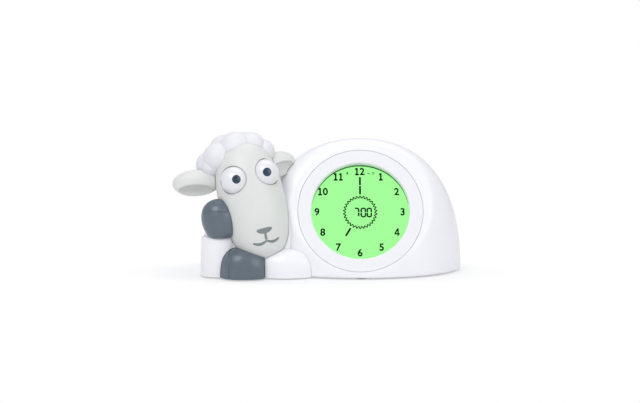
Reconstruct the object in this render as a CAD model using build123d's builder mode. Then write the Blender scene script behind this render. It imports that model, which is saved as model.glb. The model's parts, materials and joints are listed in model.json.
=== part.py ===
from build123d import *
import copy
import os
from math import acos, cos, pi, radians, sin, tan

os.makedirs("parts", exist_ok=True)

# ------------------------------------------------------------ driving dimensions (mm and degrees)
wall = 2.6  # housing mouldings
gap = 0.2  # between two mouldings that meet
base_z = 1.2  # underside of the housing rim above the table
floor_thick = 2.0

# Clock housing: a leaning half dome, longer on its left side
split_y = 18.0  # the front and rear shells meet on this plane
dome_x = 36.0  # crown of the dome
dome_height = 110.0
dome_right = 86.0
dome_left = 88.0
dome_front = 53.0
dome_rear = 27.0
dome_power = 2.3  # 2 is an ellipse, more is fuller
face_lean = 22.0  # dial face, from upright
face_top_y = 7.5  # dial face at face_top_z
face_top_z = 110.0
face_round = 12.0
back_lean = 8.0  # back panel, from upright
back_low_y = 39.5  # back panel at back_low_z
back_low_z = 10.0
back_round = 4.0
rim_round = 1.4

# Dial
dial_x = 35.5
dial_z = 54.5
ring_radius = 51.7
ring_window = 40.6
ring_depth = 6.6

ring_thick = 2.0
ring_tube = 2.0  # wall of the tube between the ring and the window
seat_bore = 47.5  # opening under the ring
glass_radius = 42.0

# Display stack, as depths below the dial face
window_depth = 6.8
window_thick = 1.1
lcd_depth = 8.1
lcd_thick = 2.1
ledge_thick = 1.0
guide_depth = 10.4
guide_thick = 3.0
frame_floor = 1.5
frame_radius = 46.0
frame_screws = 51.5  # screws at 45 degrees, this far from the dial's middle
board_depth = 17.0
board_width = 84.0
board_height = 52.0
board_thick = 1.6
post_x = 34.0
post_y = 21.0

# Chest and arms at the left end of the housing
chest_x = -60.0
chest_y = -14.0
chest_left = 37.0
chest_right = 50.0
chest_front = 12.0
chest_rear = 35.0
chest_height = 66.0
support_x = -81.8
support_y = -19.0
support_wide = 14.8  # half its width
support_deep = 12.0
support_round = 3.0
support_height = 62.0
support_top = 33.0
forearm_left = -58.0
forearm_right = 4.0
forearm_front = -35.5
forearm_depth = 42.0
forearm_height = 23.0
hoof_gap = 0.3
low_hoof_x = -62.5
low_hoof_y = -25.0
low_hoof_left = 18.0
low_hoof_right = 19.2  # its right end is cut off straight here
low_hoof_front = 16.5
low_hoof_height = 24.0
high_hoof_x = -80.0
high_hoof_y = -24.5
high_hoof_z = 48.0
high_hoof_tilt = 14.0
high_hoof_wide = 14.8  # half its width
high_hoof_deep = 13.0
high_hoof_tall = 17.5
cleft = 1.2
cleft_deep = 1.6

# Head
head_width = 55.0
head_length = 101.0
head_front = 27.0  # from the head's middle plane
head_rear = 21.0
head_power = 2.5
head_wall = 2.2
head_x = -54.0
head_y = -12.0
head_z = 62.0
head_roll = 12.0
head_turn = 14.0
head_pitch = 9.0
head_gap = 0.3  # between the head and what it rests on

# Eyes: two balls on one pin, each rolled by a train of three gears
eye_radius = 11.5
eye_x = 12.9
eye_y = -17.5
eye_z = 19.0
eye_flat = 2.9  # each ball is cut flat this far from the head's middle
eye_wall = 1.4
socket_gap = 0.5
pin_radius = 1.0
running = 0.05  # radial play of a wheel on its pin
hub_radius = 2.6
tooth_module = 0.5
eye_teeth = 16
idler_teeth = 20
pinion_teeth = 14
pressure_angle = 20.0
tooth_thinning = 0.05
wheel_inner = 1.1  # the wheels run between these distances from the head's middle
wheel_outer = 2.7
plate_half = 0.9  # half the thickness of the plate that carries the pins
motor_radius = 5.0
motor_length = 10.5
pupil_radius = 3.5

# Back panel
door_x = 48.0
door_z = 34.5
door_width = 62.0
door_height = 56.0
door_thick = 2.0
bay_width = 57.6
bay_height = 45.4
bay_shift = -3.0  # the bay sits this far below the door's middle
bay_depth = 17.2
tray_wall = 1.5
pad_depth = 5.0
speaker_x = -1.0
speaker_z = 40.0
speaker_radius = 14.0
key_count = 6
key_pitch = 13.0
key_z = 72.0
key_radius = 3.9
key_proud = 1.6
key_travel = 0.8
key_play = 0.15
switch_depth = 6.2
switch_size = 6.0
key_board_depth = 9.7
key_board_thick = 1.4
lock_z = 86.0
lock_travel = 4.0
lock_width = 4.6
lock_height = 3.8
usb_x = 4.0
usb_z = 13.7
usb_board_thick = 1.2

# Screws and feet
screw_radius = 1.3
screw_head = 2.5
screw_head_thick = 1.3
boss_radius = 4.0
join_seat = 5.0  # the joining screws seat this far behind the parting plane
join_spots = [(104, 15), (101, 60), (-36, 18), (-14, 74), (37, 105)]  # X and height
front_base_spots = [(0, -24.2), (72, -24.2)]  # X and Y
rear_base_spots = [(-10, 34), (86, 33.5)]
arm_base_spots = [(-90, -20), (-30, -28)]
foot_spots = [(100, 14), (-32, 10), (36, -26), (36, 32), (-80, -20), (-48, 2)]
foot_radius = 5.0


# ------------------------------------------------------------ forms used by several pieces
def hump(left, right, front, rear, height, power):
    """A dome over z=0 whose four quarters share one upright profile and meet without a crease.

    The profile passes through the middle of a superellipse of this power. A front or rear of 0
    leaves that half of the dome out.
    """
    with BuildPart(mode=Mode.PRIVATE) as quarter:
        with BuildSketch(Plane.XZ):
            with BuildLine():
                handle = height * (8 * 0.5 ** (1 / power) - 4) / 3
                Bezier((height, 0), (height, handle), (handle, height), (0, height))
                Polyline((0, height), (0, 0), (height, 0))
            make_face()
        revolve(axis=Axis.Z, revolution_arc=90)
    quarter_y = quarter.part.bounding_box().center().Y
    dome = None
    for depth, side in ((rear, 1), (front, -1)):
        for width, hand in ((right, 1), (left, -1)):
            if depth == 0:
                continue
            turned = copy.copy(quarter.part)
            if quarter_y * side < 0:
                turned = mirror(turned, about=Plane.XZ, mode=Mode.PRIVATE)
            if hand < 0:
                turned = mirror(turned, about=Plane.YZ, mode=Mode.PRIVATE)
            sizes = (width / height, depth / height, 1)
            turned = scale(turned, by=sizes, about=(0, 0, 0), mode=Mode.PRIVATE)
            dome = turned if dome is None else dome + turned
    return dome


pole_turn = Rot(30, 60, 20)  # turns a ball's poles away from where other pieces cut it


def ellipsoid(radius_x, radius_y, radius_z):
    ball = pole_turn * Sphere(1, mode=Mode.PRIVATE)
    return scale(ball, by=(radius_x, radius_y, radius_z), about=(0, 0, 0), mode=Mode.PRIVATE)


def flat_edges(piece, normal, lowest=-1000):
    """The edges round the flat face with this normal that lie above a height."""
    flats = piece.faces().filter_by(GeomType.PLANE)
    facing = flats.filter_by(lambda face: face.normal_at().dot(normal) > 0.99)
    return facing.edges().filter_by(lambda edge: edge.center().Z > lowest)


def bar(plane, radius, start, end, spots=((0, 0),), bore=0):
    """Round bars or tubes square to a plane, from one depth below it to another."""
    with BuildPart(mode=Mode.PRIVATE) as bars:
        with BuildSketch(plane.offset(-start)):
            with Locations(*spots):
                Circle(radius)
                if bore:
                    Circle(bore, mode=Mode.SUBTRACT)
        extrude(amount=start - end)
    return bars.part


def slab(plane, width, height, start, end, spots=((0, 0),), corner=0):
    """Rectangular blocks square to a plane, from one depth below it to another."""
    with BuildPart(mode=Mode.PRIVATE) as blocks:
        with BuildSketch(plane.offset(-start)):
            with Locations(*spots):
                if corner:
                    RectangleRounded(width, height, corner)
                else:
                    Rectangle(width, height)
        extrude(amount=start - end)
    return blocks.part


def screws(plane, spots, seat, length):
    """Pan head screws whose heads rest at a depth below a plane."""
    with BuildPart(mode=Mode.PRIVATE) as set_of_screws:
        add(bar(plane, screw_head, seat - screw_head_thick, seat, spots))
        add(bar(plane, screw_radius, seat, seat + length, spots))
        for across, along in ((3, 0.6), (0.6, 3)):
            add(slab(plane, across, along, seat - 2, seat - 0.6, spots), mode=Mode.SUBTRACT)
    return set_of_screws.part


def gear(plane, teeth, start, end, spot, turn=0):
    """An involute wheel with a tooth along the plane's x direction before it is turned."""
    pitch_r = tooth_module * teeth / 2
    base_r = pitch_r * cos(radians(pressure_angle))
    root_r = pitch_r - 1.2 * tooth_module
    tip_r = pitch_r + 0.92 * tooth_module
    half_at_pitch = pi / 2 / teeth - tooth_thinning / 2 / pitch_r
    rolled = tan(radians(pressure_angle)) - radians(pressure_angle)

    def half_tooth(radius):
        slope = acos(min(1, base_r / radius))
        return half_at_pitch + rolled - (tan(slope) - slope)

    def point(radius, angle):
        return (radius * cos(angle), radius * sin(angle))

    with BuildPart(mode=Mode.PRIVATE) as wheel:
        with BuildSketch(plane.offset(-start)):
            with BuildSketch(mode=Mode.PRIVATE) as outline:
                with BuildLine():
                    for number in range(teeth):
                        middle = 2 * pi * number / teeth + radians(turn)
                        foot = half_tooth(base_r)
                        rise = [(r, -half_tooth(r)) for r in (max(base_r, root_r), pitch_r, tip_r)]
                        fall = [(r, -angle) for r, angle in reversed(rise)]
                        root_end = 2 * pi / teeth - foot
                        Line(point(root_r, middle - foot), point(rise[0][0], middle - foot))
                        ThreePointArc(*[point(r, middle + angle) for r, angle in rise])
                        Line(point(tip_r, middle + rise[2][1]), point(tip_r, middle + fall[0][1]))
                        ThreePointArc(*[point(r, middle + angle) for r, angle in fall])
                        Line(point(rise[0][0], middle + foot), point(root_r, middle + foot))
                        Line(point(root_r, middle + foot), point(root_r, middle + root_end))
                make_face()
            with Locations(spot):
                add(outline.sketch)
        extrude(amount=start - end)
    return wheel.part


# ------------------------------------------------------------ housing forms
dial_normal = Vector(0, -cos(radians(face_lean)), sin(radians(face_lean)))
dial_y = face_top_y - (face_top_z - dial_z) * tan(radians(face_lean))
dial = Plane(origin=(dial_x, dial_y, dial_z), x_dir=(1, 0, 0), z_dir=dial_normal)
back_normal = Vector(0, cos(radians(back_lean)), sin(radians(back_lean)))
back = Plane(origin=(dome_x, back_low_y, back_low_z), x_dir=(-1, 0, 0), z_dir=back_normal)


def housing_form(inset):
    """The housing's outer form, or the same form inset by a wall, before its edges are rounded."""
    dome = hump(dome_left - inset, dome_right - inset, dome_front - inset, dome_rear - inset,
                dome_height - inset, dome_power)
    dome = Pos(dome_x, split_y, base_z) * dome
    dome = split(dome, bisect_by=dial.offset(-inset), keep=Keep.BOTTOM, mode=Mode.PRIVATE)
    return split(dome, bisect_by=back.offset(-inset), keep=Keep.BOTTOM, mode=Mode.PRIVATE)


def rounded_housing():
    form = housing_form(0)
    form = form.fillet(face_round, flat_edges(form, dial_normal))
    form = form.fillet(back_round, flat_edges(form, back_normal, base_z + back_round))
    return form.fillet(rim_round, flat_edges(form, Vector(0, 0, -1)))


def chest_form(inset):
    chest = hump(chest_left - inset, chest_right - inset, chest_front - inset,
                 chest_rear - inset, chest_height - inset, 2.4)
    return Pos(chest_x, chest_y, base_z) * chest


def arm_form(inset):
    """Chest, upright support arm and lying forearm as one form on the table side."""
    support = hump(*[support_wide - inset] * 2, *[support_deep - inset] * 2, support_height - inset, 3)
    support = Pos(support_x, support_y, base_z) * support
    above = Plane.XY.offset(base_z + support_top - inset)
    support = split(support, bisect_by=above, keep=Keep.BOTTOM, mode=Mode.PRIVATE)
    if inset < support_round:
        support = support.fillet(support_round - inset, flat_edges(support, Vector(0, 0, 1)))
    half_length = (forearm_right - forearm_left) / 2
    forearm = hump(*[half_length - inset] * 2, *[forearm_depth / 2 - inset] * 2,
                   forearm_height - inset, 3)
    middle_x = (forearm_left + forearm_right) / 2
    forearm = Pos(middle_x, forearm_front + forearm_depth / 2, base_z) * forearm
    return chest_form(inset) + support + forearm


def low_hoof_form(inset):
    """The hoof lying on the table, with a straight cuff at its right end."""
    hoof = hump(low_hoof_left - inset, low_hoof_right + 6 - inset, low_hoof_front - inset,
                low_hoof_front - inset, low_hoof_height - inset, 2.8)
    hoof = Pos(low_hoof_x, low_hoof_y, base_z) * hoof
    cuff = Plane(origin=(low_hoof_x + low_hoof_right - inset, 0, 0), z_dir=(1, 0, 0))
    return split(hoof, bisect_by=cuff, keep=Keep.BOTTOM, mode=Mode.PRIVATE)


# ------------------------------------------------------------ head form
head = Plane(
    Pos(head_x, head_y, head_z) * Rot(0, -head_roll, 0) * Rot(0, 0, head_turn) * Rot(-head_pitch, 0, 0)
)


def half_head(inset, front):
    """The head's front or rear half, placed; the halves meet on a plane through its middle."""
    half_width = head_width / 2 - inset
    depths = (head_front - inset, 0) if front else (0, head_rear - inset)
    crown = hump(half_width, half_width, *depths, head_length / 2 - inset, head_power)
    chin = mirror(crown, about=Plane.XY, mode=Mode.PRIVATE)
    return head.location * (crown + chin)


# ------------------------------------------------------------ shared forms and planes
beside_housing = housing_form(-head_gap)  # pieces outside the housing are trimmed to this
arm_inner = arm_form(wall)
around_head = [half_head(-head_gap, front) for front in (True, False)]
floor_slab = slab(Plane.XY, 400, 200, -base_z - floor_thick, -base_z)
floor_way = arm_inner & slab(Plane.XY, 400, 200, -base_z - floor_thick - gap, -base_z)

parting = Plane(origin=(0, split_y, 0), x_dir=(-1, 0, 0), z_dir=(0, 1, 0))  # depth runs forward
table = Plane(origin=(0, 0, 0), x_dir=(1, 0, 0), z_dir=(0, 0, -1))  # depth runs up
brow = Plane(origin=head.origin, x_dir=head.x_dir, z_dir=-head.y_dir)  # depth runs back
nape = Plane(origin=head.origin, x_dir=-head.x_dir, z_dir=head.y_dir)  # depth runs forward
temple = Plane(origin=head.origin, x_dir=head.y_dir, z_dir=head.x_dir)  # depth runs to the left


def on_parting(spots):
    return [(-x, z) for x, z in spots]


def on_table(spots):
    return [(x, -y) for x, y in spots]


def on_back(x, z):
    """A point of the back panel at this X and height, in the panel's own directions."""
    return (dome_x - x, (z - back_low_z) / cos(radians(back_lean)))


# ------------------------------------------------------------ housing shells
corner = frame_screws * sin(pi / 4)
frame_spots = [(x, y) for x in (-corner, corner) for y in (-corner, corner)]
frame_ear_depth = guide_depth + guide_thick + 0.2 - 1.2  # front of the display frame's ears
screw_bore = screw_radius + 0.05
ring_boss_depth = ring_thick + 2.5
boss_foot = base_z + floor_thick + gap  # underside of the bosses over the base plate
base_seat = base_z + screw_head_thick + 0.1

door_spot = on_back(door_x, door_z)
bay_spot = (door_spot[0], door_spot[1] + bay_shift)
tray_ear_spots = [(bay_spot[0] + x, bay_spot[1] + bay_height / 2 + 5) for x in (-21, 21)]
tray_screw_spots = [(x, y + 2) for x, y in tray_ear_spots]
door_screw_spot = (door_spot[0], door_spot[1] + door_height / 2 - 4.5)
speaker_spot = on_back(speaker_x, speaker_z)
key_spots = [on_back(dome_x + (i - (key_count - 1) / 2) * key_pitch, key_z)
             for i in range(key_count)]
key_board_middle = (0, (on_back(0, key_z)[1] + on_back(0, lock_z)[1]) / 2)
key_board_width = key_pitch * key_count + 9
key_board_height = 27.0
key_post_spots = [(x, key_spots[0][1] - 1) for x in (-41.2, 41.2)]
lock_spot = on_back(dome_x, lock_z)

with BuildPart() as housing_cavity:
    add(housing_form(wall))
    with BuildPart(mode=Mode.PRIVATE) as bosses:
        add(bar(parting, boss_radius, -2 * dome_rear, dome_front, on_parting(join_spots)))
        add(bar(dial, ring_radius + 3, 0, ring_boss_depth, bore=seat_bore))
        add(bar(dial, boss_radius, 0, frame_ear_depth, frame_spots))
        add(bar(table, boss_radius, boss_foot, boss_foot + 9,
                on_table(front_base_spots + rear_base_spots)))
        add(slab(back, door_width + 6, door_height + 5, 0, pad_depth, [door_spot], 3))
        add(bar(back, boss_radius - 0.5, 0, 9, [door_screw_spot]))
        add(bar(back, speaker_radius + 1.7, 0, wall + 3, [speaker_spot],
                bore=speaker_radius + gap))
        add(bar(back, 3, 0, key_board_depth, key_post_spots))
    add(bosses.part, mode=Mode.SUBTRACT)

with BuildPart() as housing_shell:
    add(rounded_housing())
    add(housing_cavity.part, mode=Mode.SUBTRACT)

with BuildPart() as front_shell:
    add(housing_shell.part)
    split(bisect_by=parting, keep=Keep.BOTTOM)
    add(bar(parting, screw_bore, -1, 9, on_parting(join_spots)), mode=Mode.SUBTRACT)
    add(bar(dial, screw_bore, frame_ear_depth - 8, frame_ear_depth + 1, frame_spots),
        mode=Mode.SUBTRACT)
    add(bar(table, screw_bore, base_z, boss_foot + 8, on_table(front_base_spots)),
        mode=Mode.SUBTRACT)
    add(bar(dial, ring_radius + gap, -20, ring_thick), mode=Mode.SUBTRACT)
    add(bar(dial, seat_bore, 0, ring_boss_depth + 1), mode=Mode.SUBTRACT)
    add(floor_way, mode=Mode.SUBTRACT)
front_shell.part.label = "front_shell"
export_step(front_shell.part, "parts/front_shell.step")

with BuildPart() as rear_shell:
    add(housing_shell.part)
    split(bisect_by=parting, keep=Keep.TOP)
    add(bar(parting, screw_bore, -dome_rear, 1, on_parting(join_spots)), mode=Mode.SUBTRACT)
    add(bar(parting, screw_head + gap, -dome_rear, -join_seat, on_parting(join_spots)),
        mode=Mode.SUBTRACT)
    add(bar(table, screw_bore, base_z, boss_foot + 8, on_table(rear_base_spots)),
        mode=Mode.SUBTRACT)
    add(slab(back, door_width + 2 * gap, door_height + 2 * gap, -10, door_thick + 0.1, [door_spot], 2),
        mode=Mode.SUBTRACT)
    add(slab(back, bay_width, bay_height, 0, pad_depth + 1, [bay_spot], 1), mode=Mode.SUBTRACT)
    add(bar(back, screw_bore, 0, 8, [door_screw_spot]), mode=Mode.SUBTRACT)
    add(bar(back, screw_bore, door_thick + 0.6, pad_depth + 1, tray_screw_spots), mode=Mode.SUBTRACT)
    add(bar(back, screw_bore, key_board_depth - 6, key_board_depth + 1, key_post_spots),
        mode=Mode.SUBTRACT)
    add(bar(back, key_radius + key_play, -1, wall + 1, key_spots), mode=Mode.SUBTRACT)
    add(slab(back, lock_width + lock_travel + 2 * key_play, lock_height + 2 * key_play, -1,
             wall + 1, [lock_spot]), mode=Mode.SUBTRACT)
    with BuildPart(mode=Mode.PRIVATE) as grille:
        for ring_number, holes in ((0, 1), (1, 6), (2, 12), (3, 18)):
            with BuildSketch(back.offset(1)):
                with Locations(speaker_spot):
                    with PolarLocations(3.2 * ring_number, holes):
                        Circle(0.9)
            extrude(amount=-wall - 1.5)
    add(grille.part, mode=Mode.SUBTRACT)
    add(slab(parting, 8.8, 3.8, -dome_rear, -dome_rear + 12, [(-usb_x, usb_z)], 0.8),
        mode=Mode.SUBTRACT)
rear_shell.part.label = "rear_shell"
export_step(rear_shell.part, "parts/rear_shell.step")

usb_board_top = usb_z - 1.5
usb_board_y = 29.0
usb_post_spots = [(usb_x - 4.5, usb_board_y - 5), (usb_x + 4.5, usb_board_y - 5)]

with BuildPart() as base_plate:
    add(housing_form(wall + gap))
    add(arm_form(wall + gap))
    add(low_hoof_form(wall + cleft_deep + gap))
    add(floor_slab, mode=Mode.INTERSECT)
    add(bar(dial, ring_radius + 3 + gap, 0, ring_boss_depth + gap), mode=Mode.SUBTRACT)
    add(bar(table, 2.2, base_z + 1, usb_board_top - usb_board_thick, on_table(usb_post_spots)))
    add(bar(table, screw_bore, usb_board_top - 6.5, usb_board_top, on_table(usb_post_spots)),
        mode=Mode.SUBTRACT)
    base_spots = on_table(front_base_spots + rear_base_spots + arm_base_spots)
    add(bar(table, screw_bore + 0.15, 0, boss_foot, base_spots), mode=Mode.SUBTRACT)
    add(bar(table, screw_head + gap, 0, base_seat, base_spots), mode=Mode.SUBTRACT)
base_plate.part.label = "base_plate"
export_step(base_plate.part, "parts/base_plate.step")

with BuildPart() as feet:
    add(bar(table, foot_radius, 0, base_z, on_table(foot_spots)))
feet.part.label = "feet"
export_step(feet.part, "parts/feet.step")

with BuildPart() as joining_screws:
    add(screws(parting, on_parting(join_spots), -join_seat, 12))
joining_screws.part.label = "joining_screws"
export_step(joining_screws.part, "parts/joining_screws.step")

with BuildPart() as base_screws:
    add(screws(table, base_spots, base_seat, 8))
base_screws.part.label = "base_screws"
export_step(base_screws.part, "parts/base_screws.step")

# ------------------------------------------------------------ dial and display stack
with BuildPart() as bezel_ring:
    add(bar(dial, ring_radius, 0, ring_thick, bore=ring_window))
    add(bar(dial, ring_window + ring_tube, 0, ring_depth, bore=ring_window))
    front_rims = faces().sort_by(Axis(dial.origin, dial_normal))[-1].edges().sort_by(SortBy.LENGTH)
    fillet(front_rims[0], 1.2)
    fillet(front_rims[-1], 0.4)
bezel_ring.part.label = "bezel_ring"
export_step(bezel_ring.part, "parts/bezel_ring.step")

with BuildPart() as dial_window:
    add(bar(dial, glass_radius, window_depth, window_depth + window_thick))
dial_window.part.label = "dial_window"
export_step(dial_window.part, "parts/dial_window.step")

pocket_width = 50.0  # pockets of the display frame, over and under the glass
pocket_height = 6.0
pocket_spots = [(0, -43.4), (0, 43.4)]
lcd_back = lcd_depth + lcd_thick
with BuildPart() as lcd_panel:
    add(bar(dial, glass_radius, lcd_depth, lcd_back))
    add(slab(dial, pocket_width - 4, pocket_height - 1, lcd_back - ledge_thick, lcd_back,
             pocket_spots[:1]))
lcd_panel.part.label = "lcd_panel"
export_step(lcd_panel.part, "parts/lcd_panel.step")

with BuildPart() as light_guide:
    add(bar(dial, glass_radius, guide_depth, guide_depth + guide_thick))
light_guide.part.label = "light_guide"
export_step(light_guide.part, "parts/light_guide.step")

led_spots = [(x, glass_radius + 1.0) for x in (-18, -9, 0, 9, 18)]
with BuildPart() as led_strip:
    add(slab(dial, 46, 1, guide_depth, guide_depth + guide_thick - 0.2, [(0, glass_radius + 2.3)]))
    add(slab(dial, 3.2, 1.6, guide_depth + 0.4, guide_depth + 2.4, led_spots))
led_strip.part.label = "led_strip"
export_step(led_strip.part, "parts/led_strip.step")

floor_depth = guide_depth + guide_thick + gap
frame_back = floor_depth + frame_floor
post_spots = [(x, y) for x in (-post_x, post_x) for y in (-post_y, post_y)]
with BuildPart() as display_frame:
    add(bar(dial, frame_radius, window_depth, frame_back))
    add(slab(dial, pocket_width + 6, pocket_height + 3.2, window_depth, frame_back, pocket_spots, 1))
    add(bar(dial, 4.5, frame_ear_depth, frame_back, frame_spots))
    add(slab(dial, 14, 6, frame_ear_depth, frame_back, [(corner - 3, corner - 3)]))
    add(slab(dial, 14, 6, frame_ear_depth, frame_back, [(3 - corner, corner - 3)]))
    add(slab(dial, 14, 6, frame_ear_depth, frame_back, [(corner - 3, 3 - corner)]))
    add(slab(dial, 14, 6, frame_ear_depth, frame_back, [(3 - corner, 3 - corner)]))
    add(bar(dial, 3.2, frame_back, board_depth, post_spots))
    add(bar(dial, glass_radius + gap, 0, floor_depth), mode=Mode.SUBTRACT)
    add(slab(dial, pocket_width, pocket_height, 0, floor_depth, pocket_spots), mode=Mode.SUBTRACT)
    add(slab(dial, 34, 2, 0, frame_back + 1, [(0, -44.6)]), mode=Mode.SUBTRACT)
    add(bar(dial, screw_bore + 0.15, 0, frame_back + 1, frame_spots), mode=Mode.SUBTRACT)
    add(bar(dial, screw_bore, floor_depth + 0.5, board_depth + 1, post_spots), mode=Mode.SUBTRACT)
display_frame.part.label = "display_frame"
export_step(display_frame.part, "parts/display_frame.step")

board_back = board_depth + board_thick
with BuildPart() as main_board:
    add(slab(dial, board_width, board_height, board_depth, board_back, corner=2))
    add(bar(dial, screw_bore + 0.15, 0, board_back + 1, post_spots), mode=Mode.SUBTRACT)
main_board.part.label = "main_board"
export_step(main_board.part, "parts/main_board.step")

chip_spot = (-8, 4)
pin_spots = [(chip_spot[0] + 1.27 * (i - 3.5), chip_spot[1] + side) for i in range(8)
             for side in (-4.6, 4.6)]
with BuildPart() as clock_chip:
    add(slab(dial, 10.6, 7.4, board_back + 0.15, board_back + 2.4, [chip_spot]))
    add(slab(dial, 0.5, 2.2, board_back, board_back + 0.4, pin_spots))
clock_chip.part.label = "clock_chip"
export_step(clock_chip.part, "parts/clock_chip.step")

with BuildPart() as board_parts:
    add(bar(dial, 3.2, board_back, board_back + 6, [(14, -12), (23, -12)]))  # capacitors
    add(slab(dial, 10, 3.6, board_back, board_back + 3.6, [(8, 14)], 1.7))  # crystal
    add(slab(dial, 12, 5, board_back, board_back + 5, [(-26, -14), (-12, -16)]))  # lead sockets
    add(slab(dial, 3, 1.6, board_back, board_back + 0.8, [(x, -4) for x in (8, 13, 18, 23, 28)]))
board_parts.part.label = "board_parts"
export_step(board_parts.part, "parts/board_parts.step")

# The ribbon runs from the panel's ledge, through the frame's slot, to the board's lower edge
dial_side = Plane(origin=dial.origin, x_dir=dial.y_dir, z_dir=dial.x_dir)
ribbon_path = [(-44.6, lcd_back + 0.15), (-44.6, frame_back + 2), (-40, board_back + 2.5),
               (-30, board_back + 2), (-25.5, board_back + 0.3), (-21, board_back + 0.3)]
with BuildPart() as lcd_ribbon:
    with BuildSketch(dial_side):
        with BuildLine(mode=Mode.PRIVATE) as ribbon_line:
            FilletPolyline(*[(y, -depth) for y, depth in ribbon_path], radius=1)
        trace(ribbon_line.line, 0.25)
    extrude(amount=15, both=True)
lcd_ribbon.part.label = "lcd_ribbon"
export_step(lcd_ribbon.part, "parts/lcd_ribbon.step")

# ------------------------------------------------------------ battery bay and back panel pieces
with BuildPart() as battery_door:
    add(slab(back, door_width, door_height, 0, door_thick, [door_spot], 2))
    tab_spots = [(bay_spot[0] + x, bay_spot[1] - bay_height / 2 + 0.8) for x in (-18, 18)]
    add(slab(back, 10, 1.2, door_thick, pad_depth + 0.5, tab_spots))
    grip_lines = [(door_spot[0], door_spot[1] + 12 + 2 * i) for i in range(4)]
    add(slab(back, 16, 0.8, 0, 0.5, grip_lines), mode=Mode.SUBTRACT)
    add(bar(back, screw_bore + 0.15, -1, 3, [door_screw_spot]), mode=Mode.SUBTRACT)
    add(bar(back, screw_head + gap, -1, screw_head_thick + 0.05, [door_screw_spot]),
        mode=Mode.SUBTRACT)
battery_door.part.label = "battery_door"
export_step(battery_door.part, "parts/battery_door.step")

with BuildPart() as door_screw:
    add(screws(back, [door_screw_spot], screw_head_thick + 0.05, 6.4))
door_screw.part.label = "door_screw"
export_step(door_screw.part, "parts/door_screw.step")

cell_lines = [(bay_spot[0], bay_spot[1] + y) for y in (-bay_height / 6, bay_height / 6)]
with BuildPart() as battery_tray:
    add(slab(back, bay_width + 2 * tray_wall, bay_height + 2 * tray_wall, pad_depth,
             bay_depth + tray_wall, [bay_spot], 2))
    add(slab(back, 9, 10, pad_depth, pad_depth + 1.6, tray_ear_spots))
    add(slab(back, bay_width, bay_height, 0, bay_depth, [bay_spot], 1), mode=Mode.SUBTRACT)
    add(slab(back, 44, 1.4, bay_depth - 4, bay_depth, cell_lines))
    add(bar(back, screw_bore + 0.15, 0, 10, tray_screw_spots), mode=Mode.SUBTRACT)
    add(bar(back, 4.2, pad_depth - 1, pad_depth + 5, [door_screw_spot]), mode=Mode.SUBTRACT)
battery_tray.part.label = "battery_tray"
export_step(battery_tray.part, "parts/battery_tray.step")

plate_thick = 0.4
plate_spots = [(bay_spot[0] + x, bay_spot[1] + y) for y in (-bay_height / 3, 0, bay_height / 3)
               for x in (-(bay_width - plate_thick) / 2, (bay_width - plate_thick) / 2)]
with BuildPart() as cell_spring:
    with BuildLine():
        coil = Helix(pitch=1.6, height=4.4, radius=3.6, cone_angle=-14)
    with BuildSketch(Plane(origin=coil @ 0, z_dir=coil % 0)):
        RegularPolygon(0.4, 6)
    sweep(path=coil)
with BuildPart() as battery_contacts:
    add(slab(back, plate_thick, 11, 6, 16, plate_spots))
    for row in range(3):
        side = 1 if row % 2 else -1
        spring_x = bay_spot[0] - side * (bay_width / 2 - 1.1 * plate_thick)
        foot = back.from_local_coords((spring_x, plate_spots[2 * row][1], -11))
        add(Plane(origin=foot, x_dir=back.y_dir, z_dir=back.x_dir * side).location * cell_spring.part)
battery_contacts.part.label = "battery_contacts"
export_step(battery_contacts.part, "parts/battery_contacts.step")

with BuildPart() as speaker:
    add(bar(back, speaker_radius, wall + 0.6, wall + 3.6, [speaker_spot]))
    add(bar(back, 8, wall + 3.6, wall + 7.4, [speaker_spot]))
    with Locations(back.offset(-wall - 0.6).location * Pos(*speaker_spot)):
        Cone(3, 11, 2.2, align=(Align.CENTER, Align.CENTER, Align.MAX), mode=Mode.SUBTRACT)
speaker.part.label = "speaker"
export_step(speaker.part, "parts/speaker.step")

with BuildPart() as speaker_gasket:
    add(bar(back, speaker_radius, wall, wall + 0.6, [speaker_spot], bore=11.6))
speaker_gasket.part.label = "speaker_gasket"
export_step(speaker_gasket.part, "parts/speaker_gasket.step")

usb_front = usb_board_y + 7.0
with BuildPart() as usb_board:
    add(slab(table, 14, 14, usb_board_top - usb_board_thick, usb_board_top,
             on_table([(usb_x, usb_board_y)])))
    add(bar(table, screw_bore + 0.15, 0, 20, on_table(usb_post_spots)), mode=Mode.SUBTRACT)
usb_board.part.label = "usb_board"
export_step(usb_board.part, "parts/usb_board.step")

with BuildPart() as usb_socket:
    mouth = Plane(origin=(0, usb_front, 0), x_dir=(-1, 0, 0), z_dir=(0, 1, 0))
    add(slab(mouth, 7.6, 2.8, 0, 5.6, [(-usb_x, usb_board_top + 1.4)], 0.6))
    add(slab(mouth, 6.8, 2.0, -1, 4.8, [(-usb_x, usb_board_top + 1.4)], 0.4), mode=Mode.SUBTRACT)
    add(slab(mouth, 3.6, 0.6, 1, 5, [(-usb_x, usb_board_top + 1.6)]))
usb_socket.part.label = "usb_socket"
export_step(usb_socket.part, "parts/usb_socket.step")

# ------------------------------------------------------------ keys and lock on the back panel
key_flange = key_radius + 1.3
key_stem_end = switch_depth - 0.75 - key_travel - 0.05
for number, name in enumerate(("set", "hour", "minute", "alarm", "light", "sound")):
    with BuildPart() as key:
        add(bar(back, key_radius, -key_proud, wall + 0.2, [key_spots[number]]))
        fillet(faces().sort_by(Axis(back.origin, back_normal))[-1].edges(), 0.9)
        add(bar(back, key_flange, wall + 0.1, wall + 1.1, [key_spots[number]]))
        add(bar(back, 1.6, wall + 1.1, key_stem_end, [key_spots[number]]))
    key.part.label = f"key_{name}"
    export_step(key.part, f"parts/key_{name}.step")

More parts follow.
